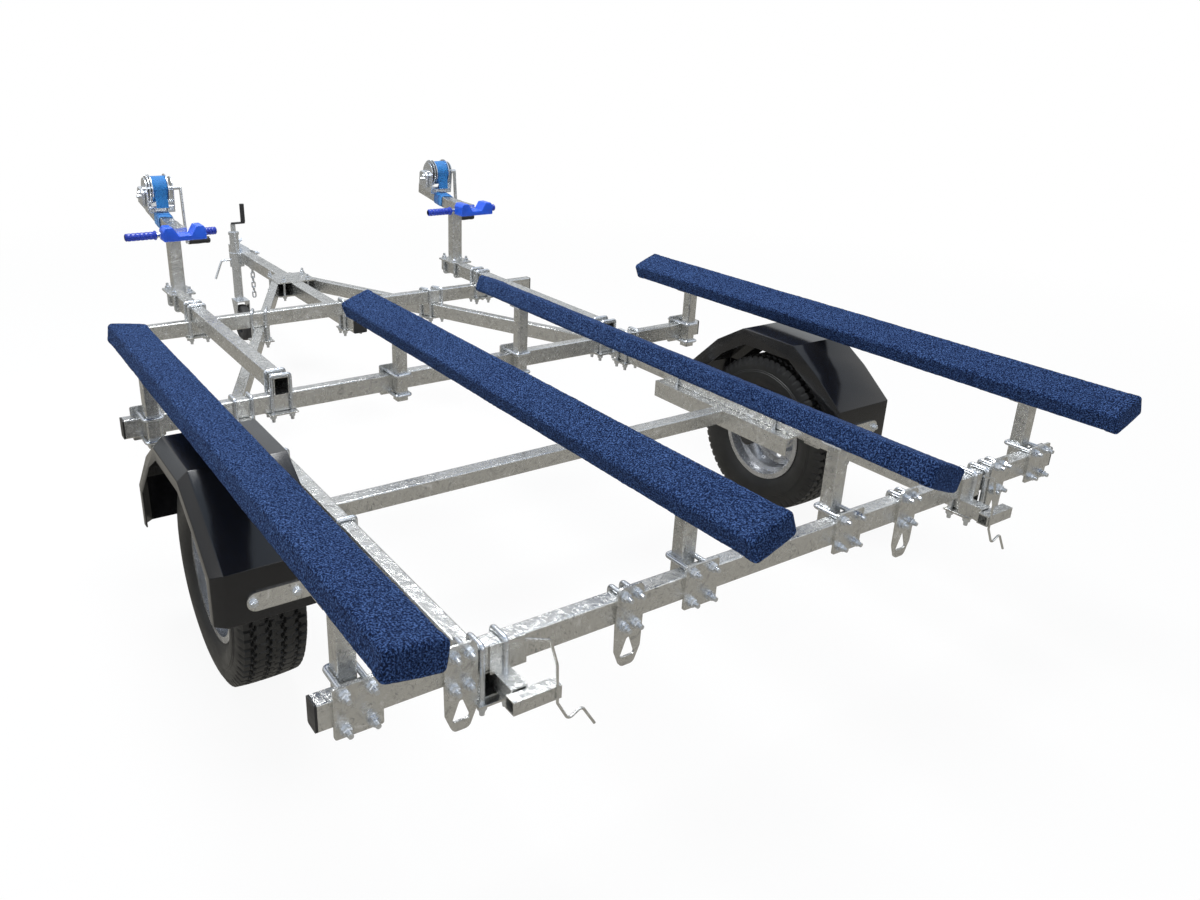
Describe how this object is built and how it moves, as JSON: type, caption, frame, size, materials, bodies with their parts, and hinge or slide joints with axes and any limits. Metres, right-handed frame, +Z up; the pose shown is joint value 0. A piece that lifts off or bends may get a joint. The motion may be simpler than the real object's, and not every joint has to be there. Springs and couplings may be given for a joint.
{
  "type": "boat trailer",
  "caption": "Galvanised single-axle trailer for two small craft side by side, with carpeted bunks, winch stands with grips, mudguards, ball coupling and jockey wheel",
  "frame": {"origin": "on the floor, midway between the rear ends of the bunks and the coupling's nose, on the trailer's centre line", "axes": "+X forward to the coupling, +Y to the left, +Z up"},
  "size_m": [4.4, 2.312, 1.0526],
  "materials": {
    "galvanised": "matt",
    "zinc": "satin",
    "black_plastic": "satin",
    "carpet": "matt",
    "blue_poly": "satin",
    "blue_grip": "satin",
    "webbing": "matt",
    "black_paint": "satin",
    "tyre": "matt",
    "wheel_silver": "satin",
    "guard_plastic": "matt",
    "black_rubber": "satin"
  },
  "bodies": {
    "chassis": {"axle_beam": "galvanised", "bow_snubber_left": "blue_poly", "bow_snubber_right": "blue_poly", "bunk_inner_left": "carpet", "bunk_inner_right": "carpet", "bunk_outer_left": "carpet", "bunk_outer_right": "carpet", "coupling": "zinc", "coupling_lever": "zinc", "drawbar": "galvanised", "end_caps": "black_plastic", "front_post_inner_left": "galvanised", "front_post_inner_right": "galvanised", "front_post_outer_left": "galvanised", "front_post_outer_right": "galvanised", "guard_stays": "galvanised", "hand_grips_left": "blue_grip", "hand_grips_right": "blue_grip", "jockey_clamp": "zinc", "jockey_crank": "black_plastic", "jockey_tube": "zinc", "junction_plates": "galvanised", "light_board_holder_left": "galvanised", "light_board_holder_right": "galvanised", "lower_crossmember": "galvanised", "mudguard_left": "guard_plastic", "mudguard_right": "guard_plastic", "post_clamp_plates": "galvanised", "rear_crossmember": "galvanised", "rear_post_inner_left": "galvanised", "rear_post_inner_right": "galvanised", "rear_post_outer_left": "galvanised", "rear_post_outer_right": "galvanised", "safety_chain": "zinc", "side_rail_left": "galvanised", "side_rail_right": "galvanised", "suspension_arm_left": "black_paint", "suspension_arm_right": "black_paint", "tie_down_plates": "galvanised", "upper_crossmember": "galvanised", "winch_frame_left": "zinc", "winch_frame_right": "zinc", "winch_stand_left": "galvanised", "winch_stand_right": "galvanised", "winch_tube_left": "galvanised", "winch_tube_right": "galvanised"},
    "wheel_left": {"wheel_left": "wheel_silver", "tyre_left": "tyre"},
    "wheel_right": {"wheel_right": "wheel_silver", "tyre_right": "tyre"},
    "winch_drum_left": {"winch_drum_left": "zinc", "winch_strap_left": "webbing"},
    "winch_drum_right": {"winch_drum_right": "zinc", "winch_strap_right": "webbing"},
    "jockey_leg": {"jockey_leg": "zinc"},
    "jockey_fork": {"jockey_fork": "zinc"},
    "jockey_wheel": {"jockey_wheel": "black_rubber"}
  },
  "joints": [
    {"name": "wheel_left_spin", "type": "hinge", "parent": "chassis", "child": "wheel_left", "pos_m": [-1.053, 1.001, 0.288], "axis": [0, 1, 0], "continuous": true},
    {"name": "wheel_right_spin", "type": "hinge", "parent": "chassis", "child": "wheel_right", "pos_m": [-1.053, -1.001, 0.288], "axis": [0, 1, 0], "continuous": true},
    {"name": "winch_left_spin", "type": "hinge", "parent": "chassis", "child": "winch_drum_left", "pos_m": [0.93542, 0.656, 0.99358], "axis": [0, 1, 0], "continuous": true},
    {"name": "winch_right_spin", "type": "hinge", "parent": "chassis", "child": "winch_drum_right", "pos_m": [0.93542, -0.656, 0.99358], "axis": [0, 1, 0], "continuous": true},
    {"name": "jockey_leg_slide", "type": "slide", "parent": "chassis", "child": "jockey_leg", "axis": [0, 0, 1], "range_m": [-0.18, 0.003]},
    {"name": "jockey_swivel", "type": "hinge", "parent": "jockey_leg", "child": "jockey_fork", "pos_m": [1.925, 0.068, 0.226], "axis": [0, 0, 1], "continuous": true},
    {"name": "jockey_wheel_spin", "type": "hinge", "parent": "jockey_fork", "child": "jockey_wheel", "pos_m": [1.877, 0.068, 0.1], "axis": [0, 1, 0], "continuous": true}
  ]
}
